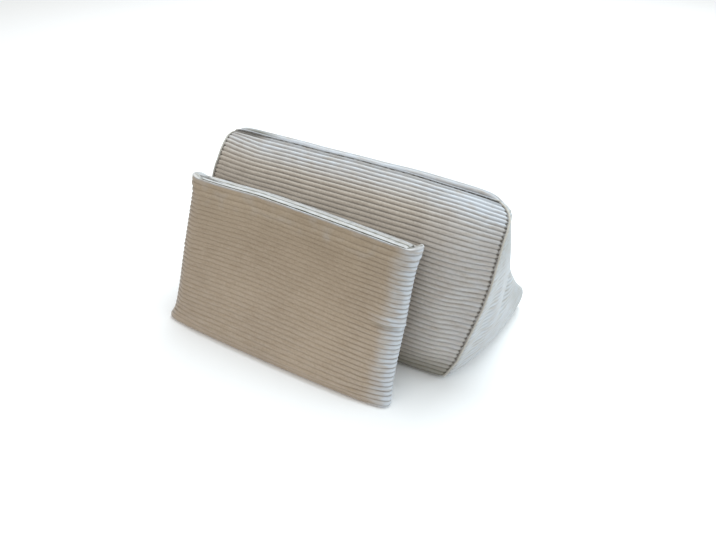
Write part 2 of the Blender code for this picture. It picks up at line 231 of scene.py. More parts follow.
# Seam of the front: dip of the cloth, turned edge, and the share of a panel's distance to it that counts.
SEAM_DIP = 0.0016
SEAM_WIDTH = 0.0050
# Seam distance kept clear near the top of the back, and taken off at the top left of the face; both move the
# seam dip and its painted shadow.
SEAM_CLEAR = 0.006
SEAM_CLEAR_RIBS = 5.0
SEAM_SHADOW_SPREAD = 0.0026
SEAM_SHADOW_PLACE = (-0.84, 0.20)
TOP_GAP_SHARE = 0.8
NO_SEAM = 0.1
EDGE_SIDES = 10
EDGE_FLAT = 0.7
EDGE_NARROW = 0.25
EDGE_LEAN = 0.35
EDGE_CORNER = 0.94
EDGE_COLUMNS = 60

# Floor contact, welding, grids of the plain covers that are blown up as (rows, steps), spread of the
# columns, and how far from the pad the wedge is looked for.
FLOOR_HELD = 0.006
FLOOR_FREE = 0.02
BASE_ROUND = 0.006
WELD = 0.00002
WEDGE_FILLING_GRID = (60, 24)
PAD_FILLING_GRID = (50, 2)
EVEN_SPREAD = 0.4
WALL_REACH = 0.03

# Seed of the noise, slow unevenness of the cloth as (size, distance, offset), and how fine the worn patches
# painted in the lit colour, the broken lines of painted shade and their specks are.
NOISE_SEED = 5
WEDGE_WAVES = (0.0010, 0.09, 3.0)
PAD_WAVES = (0.0012, 0.08, 9.0)
WORN_AND_LIT_SCALE = 55.0
LINE_SCALE = 70.0
SPECK_SCALE = 110.0

# The studio's floor and what its lights face.
FLOOR_HALF = 6.0
FLOOR_DROP = 0.0003
LIGHT_AIM = Vector((0.0, 0.0, 0.15))

# Tone of the cloth: how clear its darker ground and the painted shade in its grooves are, how much painted
# light lies on its pile and how much painted shade lies in its tucks, creases, slots, near the floor and over
# the sides.
# Most are terms of (strength, where it starts, where it is full).
FACE_CLEAR = 0.95
FACE_CLEAR_RIGHT = (-0.38, 0.45, 0.90)
FACE_CLEAR_LEFT = (-0.50, -0.45, -0.85)
FACE_CLEAR_FOOT = (0.70, 0.20, 0.0)
FACE_LIGHT_TOP = (0.80, 0.80, 0.96)
FACE_LIGHT_RIGHT = (0.60, 0.40, 0.95)
FACE_DIM_LEFT = (-0.20, -0.60, -0.90)
FACE_DIM_FOOT = (-0.60, 0.25, 0.0)
FACE_SHADE_FOOT = (1.0, 0.20, 0.0)
FACE_SHADE_CORNER = (0.5, 0.90, 1.0)
FACE_SHADE_CORNER_SHARE = 0.05
BACK_DIM = (-0.6, 0.0, 12.0)
BACK_PLAIN_CLEAR = 0.2
BACK_SHADE_PLACE = (-0.80, 0.22)
BACK_SHADE_DOWN = (0.45, 1.1)
BASE_TONE = (0.3, 0.0, 0.0)
SIDE_CLEAR = 0.60
SIDE_LIGHT_RIGHT = 0.9
SIDE_LIGHT_LEFT = 0.2
SIDE_SHADE = 0.12
SIDE_SHADE_TOP = 0.40
SIDE_SHADE_TOP_PLACE = (0.80, 0.30)
SIDE_SHADE_REAR = (0.20, 0.62, 0.82)
SIDE_SHADE_REAR_SHARE = (0.42, 0.27)
PAD_CLEAR = 0.18
PAD_CLEAR_RIGHT = (0.42, 0.40, 0.75)
PAD_CLEAR_LEFT = (0.30, -0.80, -1.0)
PAD_CLEAR_FOOT = 0.22
PAD_LIGHT_ENDS = ((0.05, 0.50, 0.85), (0.70, 0.80, 0.96), (0.50, 0.93, 0.99), (0.30, -0.90, -1.0))
PAD_LIGHT_FOOT = 0.12
PAD_LIGHT_BACK = (0.60, 0.0, -0.5)
PAD_LIGHT_RIM = (0.9, -0.35, -0.05)
PAD_WORN_AND_LIT = (0.36, 0.84, 0.94)
PAD_DARK_TOP = 0.22
FOLD_LIGHT = 0.30
FOLD_LIGHT_OFFSET = 0.042
FOLD_LIGHT_WIDTH = 0.022
CREASE_SHADE = 0.45
CREASE_SHADE_WIDTH = 0.009
LIP_LIGHT = 0.85
STRIP_LIGHT = 0.7
WEDGE_CONTRAST = 0.78
PAD_CONTRAST = 0.86
STRIP_CONTRAST = 0.8


def spline_point(points, position):
    """Point on a smooth curve through the given points; position counts the points."""
    last = len(points) - 1
    index = min(int(position), last - 1)
    part = position - index
    before = points[max(index - 1, 0)]
    start = points[index]
    end = points[index + 1]
    after = points[min(index + 2, last)]
    square = part * part
    cube = square * part
    result = start * (1.5 * cube - 2.5 * square + 1.0)
    result += before * (-0.5 * cube + square - 0.5 * part)
    result += end * (-1.5 * cube + 2.0 * square + 0.5 * part)
    result += after * (0.5 * cube - 0.5 * square)
    return result


def even_curve(points, count, fine=40):
    """Points at even distances along the smooth curve through the given points."""
    points = [Vector(point) for point in points]
    total = (len(points) - 1) * fine
    dense = [spline_point(points, step / fine) for step in range(total + 1)]
    lengths = [0.0]
    for first, second in zip(dense, dense[1:]):
        lengths.append(lengths[-1] + (second - first).length)
    result = []
    place = 0
    for step in range(count + 1):
        wanted = lengths[-1] * step / count
        while place < total - 1 and lengths[place + 1] < wanted:
            place += 1
        span = lengths[place + 1] - lengths[place]
        result.append(dense[place].lerp(dense[place + 1], (wanted - lengths[place]) / span))
    return result


def table_value(table, position):
    """Value at a position between the rows of a short two-column table."""
    for (low, first), (high, second) in zip(table, table[1:]):
        if position <= high:
            part = (position - low) / (high - low)
            return first + (second - first) * part
    return table[-1][1]


def ramp(value, start, end):
    """Ease from 0 at the start to 1 at the end, which may be the lower of the two."""
    share = min(max((value - start) / (end - start), 0.0), 1.0)
    return share * share * (3.0 - 2.0 * share)


def term(value, parts):
    """One term of a tone: its strength, eased in from where it starts to where it is full."""
    strength, start, end = parts
    return strength * ramp(value, start, end)


def bump(value, middle, width):
    """Soft hump that is 1 at its middle and fades out over its width to each side."""
    return ramp(abs(value - middle), width, 0.0)


def between(points, row):
    """Point on an even curve at a row that need not be whole."""
    low = min(int(row), len(points) - 2)
    return points[low].lerp(points[low + 1], row - low)


def section(points, rows):
    """Even curve through a middle section of (depth, height), moved into the frame."""
    return even_curve([(0.0, y + DEPTH_SHIFT, z) for y, z in points], rows)


def closer_at_ends(share):
    """Spread even steps from -1 to 1 so that they lie closer together at both ends."""
    return EVEN_SPREAD * share + (1.0 - EVEN_SPREAD) * math.sin(share * math.pi / 2.0)


def crest_rise(across, down):
    """How far the back panel rises over the plain curve, by share of its length down from the top."""
    rise = (CREST_RISE + CREST_RISE_ENDS * across * across) * (1.0 - abs(across) ** CREST_END_POWER)
    place = down / CREST_PLACE
    return rise * place * math.exp(1.0 - place)


def pad_top_shift(x, share, s=1.0):
    """How a place on the pad moves because its top is uneven and its back corners stand up."""
    fall = PAD_TOP_FALL * max(x - PAD_FALL_FROM, 0.0)
    bow = PAD_TOP_BOW * max(1.0 - ((x - PAD_BOW_MIDDLE) / PAD_BOW_REACH) ** 2, 0.0)
    corner = ramp(abs(x), 1.0 - PAD_EAR_SHARE, 1.0)
    high = ramp(share, 1.0 - PAD_EAR_SHARE, 1.0)
    ear = (PAD_EAR_RIGHT if x > 0.0 else PAD_EAR_LEFT) * corner * high
    lift = Vector((0.0, 0.0, ear * (PAD_EAR_MIDDLE - PAD_EAR_BACK * s)))
    return PAD_LEAN * (bow - fall) * share + lift


class Wedge:
    """Plain surfaces of the wedge, by place across and up each panel."""

    def __init__(self, rows):
        self.rows = rows
        self.middle = section(FACE_SECTION, rows)
        self.length = sum((second - first).length for first, second in zip(self.middle, self.middle[1:]))
        self.rear = section(BACK_SECTION, rows)
        self.corner = even_curve([(x, y + DEPTH_SHIFT, z) for x, y, z in BACK_EDGE], rows)

    def half(self, across, row):
        """Half width of the face at one row."""
        return table_value(FACE_RIGHT if across > 0.0 else FACE_LEFT, row / self.rows)

    def seam(self):
        """Search tree of the seam round the sides and top of the face."""
        points = [self.face(way, row) for way in (-1.0, 1.0) for row in range(self.rows)]
        columns = range(-EDGE_COLUMNS, EDGE_COLUMNS + 1)
        points += [self.face(column / EDGE_COLUMNS, self.rows) for column in columns]
        tree = kdtree.KDTree(len(points))
        for index, point in enumerate(points):
            tree.insert(point, index)
        tree.balance()
        return tree

    def bent(self, across, row):
        """Row as the ribs run: pulled up into the top left corner and along the right seam."""
        share = row / self.rows
        left = max(-CORNER_PULL_FROM - across, 0.0) / (1.0 - CORNER_PULL_FROM)
        pull = CORNER_PULL * left ** CORNER_PULL_POWER * bump(share, *CORNER_PULL_PLACE)
        pull *= ramp(share, 1.0, CORNER_PULL_PLACE[0])
        pull += SEAM_PULL * ramp(across, SEAM_PULL_FROM, 1.0) * math.sin(math.pi * share)
        return min(row + pull / self.length * self.rows, self.rows)

    def face(self, across, row):
        """Crowned front, falling back to the seam at each side."""
        row = self.bent(across, row)
        share = row / self.rows
        ahead = self.middle[min(int(row) + 1, self.rows)] - self.middle[max(int(row) - 1, 0)]
        inward = Vector((0.0, ahead.z, -ahead.y)).normalized()
        fall = FACE_EDGE_FALL * abs(across) ** FACE_EDGE_POWER
        fall *= max(math.sin(math.pi * share), 0.0) ** FACE_EDGE_SPREAD
        drop = TOP_SEAM_FALL_RIGHT if across > 0.0 else TOP_SEAM_FALL_LEFT
        drop *= across * across * share ** TOP_SEAM_POWER
        if across < 0.0:
            drop += TOP_CORNER_FALL * (abs(across) * share) ** TOP_CORNER_POWER
        near = (across - FACE_SWELL_PLACE) / FACE_SWELL_WIDTH
        fall -= FACE_SWELL * math.exp(-near * near) * math.sin(math.pi * share)
        point = between(self.middle, row)
        return Vector((across * self.half(across, row), point.y, point.z - drop)) + inward * fall

    def back(self, across, row):
        """Back panel, fuller in the middle than along its side seams."""
        if row == self.rows:
            return self.face(across, row)
        corner = self.corner[row]
        share = abs(across) ** BACK_EDGE_POWER
        point = self.rear[row].lerp(corner, share)
        point.x = across * corner.x
        point.z += crest_rise(across, 1.0 - row / self.rows)
        if across < 0.0:
            lift = TOP_CORNER_LIFT * share * (1.0 - TOP_CORNER_LIFT_LOSS * abs(across) ** TOP_CORNER_POWER)
            point.z += lift * ramp(row / self.rows, TOP_CORNER_LIFT_FROM, 1.0)
        return point

    def side(self, way, step, row):
        """Side panel from the face seam to the back seam, filled out in its middle."""
        front = self.face(way, row)
        rear = self.back(way, row)
        share = row / self.rows
        foot = max(1.0 - share / SIDE_FOOT_SHARE, 0.0)
        fill = SIDE_BULGE * min((rear - front).length / SIDE_FULL_DEPTH, 1.0) + SIDE_FOOT_BULGE * foot
        out = fill * max(math.sin(math.pi * step ** SIDE_BULGE_LEAN), 0.0) ** SIDE_BULGE_POWER
        hump = max(math.sin(math.pi * step), 0.0) ** SIDE_BULGE_POWER
        out += SIDE_TOP_BULGE * bump(share, *SIDE_TOP_PLACE) * hump
        crease = SIDE_CREASE_MIDDLE + SIDE_CREASE_SLANT * share
        out -= SIDE_CREASE * bump(step, crease, SIDE_CREASE_WIDTH) * bump(share, *SIDE_CREASE_PLACE)
        rear_part = bump(step, crease + SIDE_REAR_OFFSET, SIDE_REAR_WIDTH)
        out += SIDE_REAR_BULGE * rear_part * bump(share, *SIDE_REAR_PLACE)
        return front.lerp(rear, step) + Vector((out * way, 0.0, 0.0))

    def base(self, across, step):
        """Flat underside, turned up a little at its border."""
        left = self.side(-1.0, step, 0)
        right = self.side(1.0, step, 0)
        point = left.lerp(right, (across + 1.0) / 2.0)
        point.y = self.face(across, 0).y + (self.back(across, 0).y - self.face(across, 0).y) * step
        depth = (self.back(across, 0) - self.face(across, 0)).length
        edge = min((1.0 - abs(across)) * right.x, step * depth, (1.0 - step) * depth)
        rim = self.face(across, 0).lerp(self.back(across, 0), step).z
        point.z = rim * ramp(edge, BASE_ROUND, 0.0)
        return point


class Panels:
    """A mesh that is put together from bent grids, with each corner's place in the cloth kept."""

    def __init__(self):
        self.work = bmesh.new()
        layers = self.work.verts.layers.float
        self.rib = layers.new("rib")
        self.edge = layers.new("edge")
        self.height = layers.new("height")
        self.tone = self.work.verts.layers.float_vector.new("tone")
        self.map = self.work.loops.layers.uv.new("cloth")

    def add(self, columns, rows, place):
        """Bend one flat grid; place gives a point, rib, length along, seam distance, height and tone."""
        made = bmesh.ops.create_grid(self.work, x_segments=columns, y_segments=rows, size=1.0)["verts"]
        flat = {}
        for vert in made:
            column = round((vert.co.x + 1.0) / 2.0 * columns)
            row = round((vert.co.y + 1.0) / 2.0 * rows)
            point, rib, along, edge, height, tone = place(column, row)
            vert.co = point
            vert[self.tone] = tone
            vert[self.rib] = rib
            vert[self.edge] = edge
            vert[self.height] = height
            flat[vert] = (along, rib)
        for face in {face for vert in made for face in vert.link_faces}:
            for loop in face.loops:
                loop[self.map].uv = flat[loop.vert]

    def weld(self):
        """Sew the grids together and turn every face outwards."""
        bmesh.ops.remove_doubles(self.work, verts=self.work.verts, dist=WELD)
        bmesh.ops.dissolve_degenerate(self.work, dist=WELD, edges=self.work.edges)
        bmesh.ops.recalc_face_normals(self.work, faces=self.work.faces)
        self.work.normal_update()

    def close(self):
        """Fill the open ends."""
        borders = [edge for edge in self.work.edges if edge.is_boundary]
        bmesh.ops.holes_fill(self.work, edges=borders, sides=0)
        bmesh.ops.recalc_face_normals(self.work, faces=self.work.faces)
        self.work.normal_update()


def face_tone(across, share):
    """Tone of the front: groove shade strongest in the middle and at the foot, painted light to the top and
    the right, painted shade at the foot and in the bottom right corner.
    """
    clear = FACE_CLEAR + term(across, FACE_CLEAR_RIGHT) + term(across, FACE_CLEAR_LEFT)
    clear += term(share, FACE_CLEAR_FOOT)
    light = term(share, FACE_LIGHT_TOP) + term(across, FACE_LIGHT_RIGHT)
    light *= (1.0 + term(across, FACE_DIM_LEFT)) * (1.0 + term(share, FACE_DIM_FOOT))
    corner = term(across, FACE_SHADE_CORNER) * ramp(share, FACE_SHADE_CORNER_SHARE, 0.0)
    painted_shade = term(share, FACE_SHADE_FOOT) + corner
    return clear, light, painted_shade


def side_tone(way, step, share):
    """Tone of a side panel: the right one faces the light and gets more painted light; both get painted
    shade, most high up and at the rear foot.
    """
    painted_shade = SIDE_SHADE + SIDE_SHADE_TOP * bump(share, *SIDE_SHADE_TOP_PLACE)
    painted_shade += term(step, SIDE_SHADE_REAR) * ramp(share, *SIDE_SHADE_REAR_SHARE)
    return SIDE_CLEAR, SIDE_LIGHT_RIGHT if way > 0.0 else SIDE_LIGHT_LEFT, painted_shade


def pad_tone(point, x, s, share, over):
    """Tone of the pad's wall by place across, through and up; over counts ribs from its top edge."""
    # Painted light on the ends, the foot, the back, the top rim and over the fold; worn patches painted in
    # the lit colour; painted shade in the crease; darker toward the top of the front.
    front = ramp(s, 0.0, 1.0)
    low = 1.0 - share
    clear = PAD_CLEAR + term(x, PAD_CLEAR_RIGHT) + term(x, PAD_CLEAR_LEFT) + PAD_CLEAR_FOOT * low
    light = sum(term(x, parts) for parts in PAD_LIGHT_ENDS) + PAD_LIGHT_FOOT * low
    light += term(share, PAD_WORN_AND_LIT) * front * max(broken(point, WORN_AND_LIT_SCALE), 0.0)
    light = max(light, term(over, PAD_LIGHT_RIM), term(s, PAD_LIGHT_BACK))
    fold = ramp(x, *CREASE_PLACE) * front
    light += FOLD_LIGHT * fold * ridge(share, CREASE_SHARE + FOLD_LIGHT_OFFSET, FOLD_LIGHT_WIDTH)
    painted_shade = CREASE_SHADE * fold * ridge(share, CREASE_SHARE, CREASE_SHADE_WIDTH)
    return clear, light, painted_shade + PAD_DARK_TOP * share * share * front


def wedge_panels(wedge, columns, steps, ribs, height, side_height, pitch):
    """Face, back, both sides and base of the wedge as one closed mesh without ribs."""
    panels = Panels()
    top = wedge.rows

    def across_at(column):
        return closer_at_ends(column / columns * 2.0 - 1.0)

    def step_at(column):
        return (closer_at_ends(column / steps * 2.0 - 1.0) + 1.0) / 2.0

    def ribbed(rib):
        return ramp(ribs - rib, *WEDGE_PLAIN)

    def face(column, row):
        across = across_at(column)
        point = wedge.face(across, row)
        side_gap = (1.0 - abs(across)) * wedge.half(across, row)
        top_gap = (top - row) / top * ribs * pitch * TOP_GAP_SHARE
        top_gap = max(top_gap - SEAM_SHADOW_SPREAD * bump(across, *SEAM_SHADOW_PLACE), 0.0)
        share = row / top
        edge = min(side_gap, top_gap)
        return point, share * ribs, point.x / pitch, edge, height, face_tone(across, share)

    def back(column, row):
        across = across_at(column)
        point = wedge.back(across, row)
        rib = row / top * ribs
        down = ribs - rib
        side_gap = (1.0 - abs(across)) * wedge.corner[row].x + SEAM_CLEAR * ramp(down, SEAM_CLEAR_RIBS, 0.0)
        # Painted shade behind the top left of the seam, and painted light on the top band that dims further
        # down.
        painted_shade = bump(across, *BACK_SHADE_PLACE) * bump(down, *BACK_SHADE_DOWN)
        tone = (1.0 - BACK_PLAIN_CLEAR * ribbed(rib), 1.0 + term(down, BACK_DIM), painted_shade)
        return point, rib, point.x / pitch + ribs, side_gap, height * ribbed(rib), tone

    def side(way):
        def panel(column, row):
            step = step_at(column)
            point = wedge.side(way, step, row)
            depth = (wedge.back(way, row) - wedge.face(way, row)).length
            rib = row / top * ribs
            along = way * (ribs + step * depth / pitch)
            edge = (1.0 - step) * depth + NO_SEAM
            return point, rib, along, edge, side_height * ribbed(rib), side_tone(way, step, row / top)
        return panel

    def base(column, row):
        across = across_at(column)
        point = wedge.base(across, step_at(row))
        return point, 0.0, point.x / pitch, NO_SEAM, 0.0, BASE_TONE

    panels.add(columns, top, face)
    panels.add(columns, top, back)
    panels.add(steps, top, side(1.0))
    panels.add(steps, top, side(-1.0))
    panels.add(columns, steps, base)
    panels.weld()
    return panels


def pinched(x):
    """How far the pad's top is drawn together to a corner, by place across."""
    return ramp(abs(x), *PAD_PINCH)


def point_along(station):
    """Length round the pad from its right end, near enough for the weave."""
    x, s = station
    half = PAD_HALF_WIDTH[0][1]
    return half * (1.0 - x) if s >= 0.0 else half * (3.0 + x)


class Pad:
    """Rings of the pad from the floor to its top."""

    def __init__(self, rows):
        self.rows = rows
        self.front = section(PAD_FRONT, rows)
        self.length = sum((second - first).length for first, second in zip(self.front, self.front[1:]))
        self.rear = section(PAD_BACK, rows)

    def stations(self, steps):
        """Round-the-pad stations as (share of half width, share of half thickness), front first."""
        quarter = [Vector(pair) for pair in PAD_QUARTER]
        mirrored = [Vector((-x, s)) for x, s in reversed(PAD_QUARTER)]
        front = quarter + mirrored
        back = [Vector((-x, -s)) for x, s in PAD_QUARTER[1:]]
        whole = front + back + [Vector((x, -s)) for x, s in reversed(PAD_QUARTER)]
        total = (len(whole) - 1) * steps
        return [spline_point(whole, index / steps) for index in range(total + 1)]

    def ring(self, station, row):
        """Point of one ring at a station; the ribs of the front arch a little."""
        x, s = station
        share = row / self.rows
        arch = PAD_ARCH * math.cos((x - PAD_ARCH_MIDDLE) * PAD_ARCH_TURNS)
        arch *= math.sin(math.pi * share) * ramp(s, 0.0, 1.0)
        row = min(max(row + arch / self.length * self.rows, 0.0), self.rows)
        share = row / self.rows
        middle = (between(self.front, row) + between(self.rear, row)) / 2.0
        reach = (between(self.front, row) - between(self.rear, row)) / 2.0
        shift = PAD_MIDDLE + PAD_TOP_SHIFT * share
        point = Vector((shift + table_value(PAD_HALF_WIDTH, share) * x, 0.0, 0.0)) + middle + reach * s
        foot = max(1.0 - share / PAD_FOOT_SHARE, 0.0)
        point.y -= foot * (PAD_FOOT_BOW * (1.0 - x * x) + PAD_FOOT_TURN * (1.0 + x) / 2.0)
        return point + pad_top_shift(x, share, s)

    def lip(self, station, inwards, rise):
        """Point of the rounded lip, by how far in and how high over the rim it lies."""
        point = self.ring(station, self.rows)
        opposite = self.ring(Vector((station.x, -station.y)), self.rows)
        pinch = pinched(station.x)
        inward = (opposite - point) / 2.0 * (PAD_LIP_SHARE + (PAD_LIP_CLOSED - PAD_LIP_SHARE) * pinch)
        inward.x = math.copysign(PAD_LIP, -station.x) * ramp(abs(station.x), 0.7, 0.9)
        if rise < 0.0:
            rise *= 1.0 - PAD_PINCH_RISE * pinch
        if station.x > 0.0:
            rise += PAD_KNOT * ramp(station.x, *PAD_KNOT_PLACE) * math.sin(math.pi * inwards) ** 2
        return point + inward * inwards + Vector((0.0, 0.0, rise))


def pad_panels(pad, steps, ribs, height, pitch):
    """The pad as one closed mesh without ribs."""
    panels = Panels()
    stations = pad.stations(steps)
    top = pad.rows

    def wall(column, row):
        station = stations[column]
        x, s = station
        around = point_along(station) / pitch
        if row <= top:
            share = row / top
            rib = share * ribs
            point = pad.ring(station, row)
            lift = height * ramp(ribs - rib, *PAD_PLAIN) * ramp(rib, 0.0, PAD_FOOT_PLAIN)
            lift *= 1.0 + PAD_END_RIBS * ramp(abs(x), *PAD_END_PLACE)
            return point, rib, around, NO_SEAM, lift, pad_tone(point, x, s, share, rib - ribs)
        inwards, rise = LIP_PROFILE[row - top - 1]
        point = pad.lip(station, inwards, rise)
        pinch = pinched(x)
        # Painted shade down in the slot of the lip and in the middle of its pinched corners, broken up and
        # speckled; painted light on the lip.
        dark = ramp(inwards, 0.8, 1.0) * (1.0 - 0.7 * pinch) + 0.95 * pinch * bump(inwards, 0.65, 0.28)
        dark = dark * (0.85 + 0.5 * broken(point, LINE_SCALE)) + 0.5 * max(broken(point, SPECK_SCALE), 0.0)
        return point, ribs, around, NO_SEAM, 0.0, (0.0, LIP_LIGHT, dark)

    panels.add(len(stations) - 1, top + len(LIP_PROFILE), wall)
    panels.weld()
    panels.close()
    return panels


class Filling:
    """How far each point of a plain cover moves when it is filled."""

    def __init__(self, points, moves):
        self.moves = moves
        self.tree = kdtree.KDTree(len(points))
        for index, point in enumerate(points):
            self.tree.insert(point, index)
        self.tree.balance()

    def at(self, point, near=8, soft=0.004):
        """Move of the cloth at a point, averaged over the nearest points of the simulation."""
        total = Vector()
        weight = 0.0
        for _, index, distance in self.tree.find_n(point, near):
            share = 1.0 / (distance * distance + soft * soft)
            total += self.moves[index] * share
            weight += share
        return total / weight


def fill_cover(name, panels, settings):
    """Blow a closed cover up by cloth simulation and give back how its points move."""
    mesh = bpy.data.meshes.new(name)
    for vert in panels.work.verts:
        if vert.co.z > FLOOR_HELD:
            vert.co -= vert.normal * settings.shrink
    panels.work.to_mesh(mesh)
    panels.work.free()
    cover = bpy.data.objects.new(name, mesh)
    bpy.context.scene.collection.objects.link(cover)
    remesh = cover.modifiers.new("even cloth", "REMESH")
    remesh.mode = "VOXEL"
    remesh.voxel_size = settings.cloth_step
    graph = bpy.context.evaluated_depsgraph_get()
    even = bpy.data.meshes.new_from_object(cover.evaluated_get(graph))
    cover.modifiers.clear()
    cover.data = even
    held = cover.vertex_groups.new(name="held")
    held.add([vert.index for vert in even.vertices if vert.co.z < FLOOR_HELD], 1.0, "REPLACE")
    cloth = cover.modifiers.new("filling", "CLOTH")
    cloth.settings.use_pressure = True
    cloth.settings.uniform_pressure_force = settings.pressure
    cloth.settings.vertex_group_mass = held.name
    cloth.settings.effector_weights.gravity = 0.0
    cloth.settings.quality = 5
    cloth.settings.mass = 0.3
    cloth.settings.tension_stiffness = settings.stiffness
    cloth.settings.compression_stiffness = settings.stiffness
    cloth.settings.shear_stiffness = settings.stiffness / 3.0
    cloth.settings.bending_stiffness = 0.4
    cloth.point_cache.frame_start = 1
    cloth.point_cache.frame_end = settings.frames
    start = [vert.co.copy() for vert in even.vertices]
    normals = [vert.normal.copy() for vert in even.vertices]
    for step in range(1, settings.frames + 1):
        bpy.context.scene.frame_set(step)
    graph = bpy.context.evaluated_depsgraph_get()
    swollen = cover.evaluated_get(graph).to_mesh()
    points = []
    moves = []
    for before, normal, vert in zip(start, normals, swollen.vertices):
        move = vert.co - before
        if before.z > FLOOR_HELD:
            move -= normal * settings.shrink
            before = before + normal * settings.shrink
        if move.length > settings.most:
            move *= settings.most / move.length
        points.append(before)
        moves.append(move)
    cover.evaluated_get(graph).to_mesh_clear()
    bpy.context.scene.frame_set(1)
    bpy.data.objects.remove(cover)
    return Filling(points, moves)


FILLINGS = {}


def filling(name, make_panels, settings):
    if name not in FILLINGS:
        FILLINGS[name] = fill_cover(name, make_panels(), settings)
    return FILLINGS[name]


def waves(point, size, step, offset):
    """Slow uneven drift of the cloth."""
    shift = Vector((offset, offset * 0.7, offset * 1.3))
    return noise.noise_vector(point / step + shift) * size


def broken(point, scale):
    """Uneven value from about -1 to 1 that breaks up lines and patches of the pile."""
    return noise.noise(point * scale)


def ridge(value, middle, width):
    """Narrow crease with a value of 1 along its middle."""
    far = (value - middle) / width
    return math.exp(-far * far)


def pad_creases(x, share):
    """Height of the few creases on the pad's front, by place across and up."""
    deep = ridge(share, CREASE_SHARE + FOLD_OFFSET, FOLD_WIDTH) - ridge(share, CREASE_SHARE, CREASE_WIDTH)
    middle = FAINT_SHARE + FAINT_SLANT * x
    faint = ridge(share, middle, 0.008) - 0.6 * ridge(share, middle - 0.018, 0.009)
    return CREASE_HEIGHT * ramp(x, *CREASE_PLACE) * deep + FAINT_HEIGHT * ramp(x, *FAINT_PLACE) * faint


def rib_crest(rib):
    """Round crests of the ribs, from 0 in a groove to 1 on a rib."""
    return abs(math.sin(math.pi * rib)) ** RIB_ROUND


def rib_lift(rib, edge, height):
    """Height of the ribbed cloth over its plain surface, drawn in at a seam."""
    dip = SEAM_DIP * ramp(edge, SEAM_WIDTH, 0.0)
    return height * (2.0 * rib_crest(rib) - 1.0) * ramp(edge, 0.0, RIB_END) - dip


class Wire:
    """One output of a material's node, joined to others with Python's own signs."""

    def __init__(self, recipe, socket):
        self.recipe = recipe
        self.socket = socket

    def maths(self, operation, other=None, swapped=False):
        """Add one Math node that works on this value, and on another where it takes two."""
        values = [self] if other is None else [self, other]
        if swapped:
            values.reverse()
        return self.recipe.add("ShaderNodeMath", {"operation": operation}, dict(enumerate(values)))

    def __add__(self, other):
        return self.maths("ADD", other)

    def __radd__(self, other):
        return self.maths("ADD", other)

    def __sub__(self, other):
        return self.maths("SUBTRACT", other)

    def __rsub__(self, other):
        return self.maths("SUBTRACT", other, True)

    def __mul__(self, other):
        return self.maths("MULTIPLY", other)

    def __rmul__(self, other):
        return self.maths("MULTIPLY", other)

    def __pow__(self, other):
        return self.maths("POWER", other)

    def __abs__(self):
        return self.maths("ABSOLUTE")


class Recipe:
    """The nodes of one cloth finish."""

    def __init__(self, name):
        self.material = bpy.data.materials.new(name)
        self.material.use_nodes = True
        self.tree = self.material.node_tree
        self.shader = self.tree.nodes["Principled BSDF"]

    def add(self, kind, settings, values, output=0):
        """Add a node: its settings first, then the values or links of its sockets."""
        node = self.tree.nodes.new(kind)
        for name, value in settings.items():
            setattr(node, name, value)
        for name, value in values.items():
            self.connect(node, name, value)
        return Wire(self, node.outputs[output])

    def connect(self, node, name, value):
        """Link a value to a socket, or set the socket to a number or colour."""
        if isinstance(value, Wire):
            self.tree.links.new(value.socket, node.inputs[name])
        else:
            node.inputs[name].default_value = value

    def blend(self, share, first, second):
        """Mix two colours."""
        return self.add("ShaderNodeMix", {"data_type": "RGBA"}, {0: share, 6: first, 7: second}, 2)

    def part(self, vector, index):
        """One of the three parts of a vector."""
        return self.add("ShaderNodeSeparateXYZ", {}, {"Vector": vector}, index)

    def kept(self, name, output):
        """A value that the cloth keeps at each of its corners: a vector is output 1, a number output 2."""
        return self.add("ShaderNodeAttribute", {"attribute_name": name}, {}, output)

    def stretched(self, where, size):
        """A place on the cloth, stretched along its ribs."""
        return self.add("ShaderNodeMapping", {"vector_type": "POINT"}, {"Vector": where, "Scale": size})

    def relief(self, height, cloth):
        """Fine relief of the cloth."""
        values = {"Strength": cloth.relief, "Distance": cloth.relief_depth, "Height": height}
        return self.add("ShaderNodeBump", {}, values)

    def patches(self, where, scale, detail=2.0, rough=0.5):
        """Soft random patches from 0 to 1."""
        values = {"Vector": where, "Scale": scale, "Detail": detail, "Roughness": rough}
        return self.add("ShaderNodeTexNoise", {}, values)

    def finish(self, values):
        """Set the shader's own sockets and give back the material."""
        for name, value in values.items():
            self.connect(self.shader, name, value)
        return self.material


